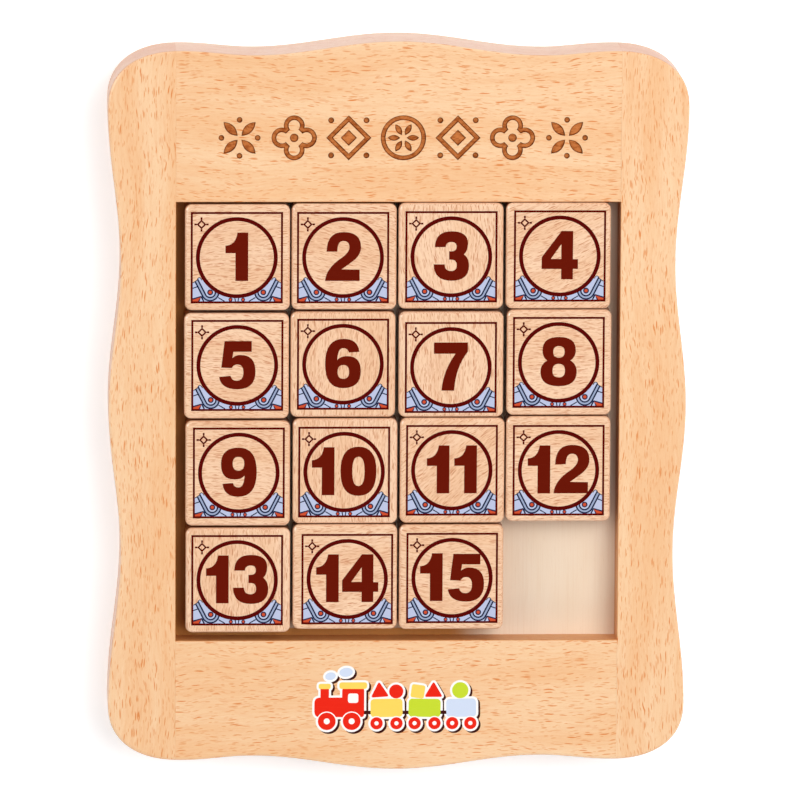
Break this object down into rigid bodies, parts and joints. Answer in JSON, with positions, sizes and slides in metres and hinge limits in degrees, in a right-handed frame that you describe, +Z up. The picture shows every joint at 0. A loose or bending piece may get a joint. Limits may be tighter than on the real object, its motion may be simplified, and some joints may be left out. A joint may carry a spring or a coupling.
{
  "type": "sliding tile puzzle",
  "caption": "Wooden sliding tile puzzle: loose numbered square tiles in a wavy-edged tray with one empty cell, a plywood floor in a groove and doweled corners.",
  "frame": {"origin": "middle of the outline in plan, on the back face that the puzzle lies on", "axes": "+Z up out of the face with the tiles, +Y towards the top of the puzzle (the engraved rail), +X to the right when the numbers are read"},
  "size_m": [0.162, 0.206, 0.023],
  "materials": {
    "beech_frame": "solid beech, sanded smooth, clear satin lacquer",
    "beech_tile": "solid beech, rounded edges, clear satin lacquer",
    "plywood_floor": "pale plywood, sanded, unlacquered",
    "beech_dowel": "plain turned beech",
    "engraving": "burnt brown floor of the engraved ornaments",
    "dark_ink": "dark red-brown printed ink",
    "ornament_ink": "blue-grey, orange and slate printed ink",
    "badge_ink": "red, yellow, green and white printed ink"
  },
  "bodies": {
    "tray": {"left_stile": "beech_frame", "right_stile": "beech_frame", "top_rail": "beech_frame", "bottom_rail": "beech_frame", "floor_panel": "plywood_floor", "dowel_top_left_outer": "beech_dowel", "dowel_top_left_inner": "beech_dowel", "dowel_top_right_outer": "beech_dowel", "dowel_top_right_inner": "beech_dowel", "dowel_bottom_left_outer": "beech_dowel", "dowel_bottom_left_inner": "beech_dowel", "dowel_bottom_right_outer": "beech_dowel", "dowel_bottom_right_inner": "beech_dowel"},
    "tile_01": {"tile_01": "beech_tile"},
    "tile_02": {"tile_02": "beech_tile"},
    "tile_03": {"tile_03": "beech_tile"},
    "tile_04": {"tile_04": "beech_tile"},
    "tile_05": {"tile_05": "beech_tile"},
    "tile_06": {"tile_06": "beech_tile"},
    "tile_07": {"tile_07": "beech_tile"},
    "tile_08": {"tile_08": "beech_tile"},
    "tile_09": {"tile_09": "beech_tile"},
    "tile_10": {"tile_10": "beech_tile"},
    "tile_11": {"tile_11": "beech_tile"},
    "tile_12": {"tile_12": "beech_tile"},
    "tile_13": {"tile_13": "beech_tile"},
    "tile_14": {"tile_14": "beech_tile"},
    "tile_15": {"tile_15": "beech_tile"}
  },
  "joints": [
    {"name": "tile_04_slide", "type": "slide", "parent": "tray", "child": "tile_04", "axis": [0, -1, 0], "range_m": [0, 0.0338]},
    {"name": "tile_08_slide", "type": "slide", "parent": "tray", "child": "tile_08", "axis": [0, -1, 0], "range_m": [0, 0.0338]},
    {"name": "tile_12_slide", "type": "slide", "parent": "tray", "child": "tile_12", "axis": [0, -1, 0], "range_m": [0, 0.0338]},
    {"name": "tile_13_slide", "type": "slide", "parent": "tray", "child": "tile_13", "axis": [-1, 0, 0], "range_m": [-0.032, 0]},
    {"name": "tile_14_slide", "type": "slide", "parent": "tray", "child": "tile_14", "axis": [-1, 0, 0], "range_m": [-0.032, 0]},
    {"name": "tile_15_slide", "type": "slide", "parent": "tray", "child": "tile_15", "axis": [-1, 0, 0], "range_m": [-0.032, 0]},
    {"name": "tile_01_lift", "type": "slide", "parent": "tray", "child": "tile_01", "axis": [0, 0, 1], "range_m": [0, 0.03]},
    {"name": "tile_02_lift", "type": "slide", "parent": "tray", "child": "tile_02", "axis": [0, 0, 1], "range_m": [0, 0.03]},
    {"name": "tile_03_lift", "type": "slide", "parent": "tray", "child": "tile_03", "axis": [0, 0, 1], "range_m": [0, 0.03]},
    {"name": "tile_05_lift", "type": "slide", "parent": "tray", "child": "tile_05", "axis": [0, 0, 1], "range_m": [0, 0.03]},
    {"name": "tile_06_lift", "type": "slide", "parent": "tray", "child": "tile_06", "axis": [0, 0, 1], "range_m": [0, 0.03]},
    {"name": "tile_07_lift", "type": "slide", "parent": "tray", "child": "tile_07", "axis": [0, 0, 1], "range_m": [0, 0.03]},
    {"name": "tile_09_lift", "type": "slide", "parent": "tray", "child": "tile_09", "axis": [0, 0, 1], "range_m": [0, 0.03]},
    {"name": "tile_10_lift", "type": "slide", "parent": "tray", "child": "tile_10", "axis": [0, 0, 1], "range_m": [0, 0.03]},
    {"name": "tile_11_lift", "type": "slide", "parent": "tray", "child": "tile_11", "axis": [0, 0, 1], "range_m": [0, 0.03]}
  ],
  "couplings": [
    {"joint": "tile_08_slide", "follows": "tile_04_slide", "ratio": 1},
    {"joint": "tile_12_slide", "follows": "tile_04_slide", "ratio": 1},
    {"joint": "tile_14_slide", "follows": "tile_13_slide", "ratio": 1},
    {"joint": "tile_15_slide", "follows": "tile_13_slide", "ratio": 1}
  ]
}
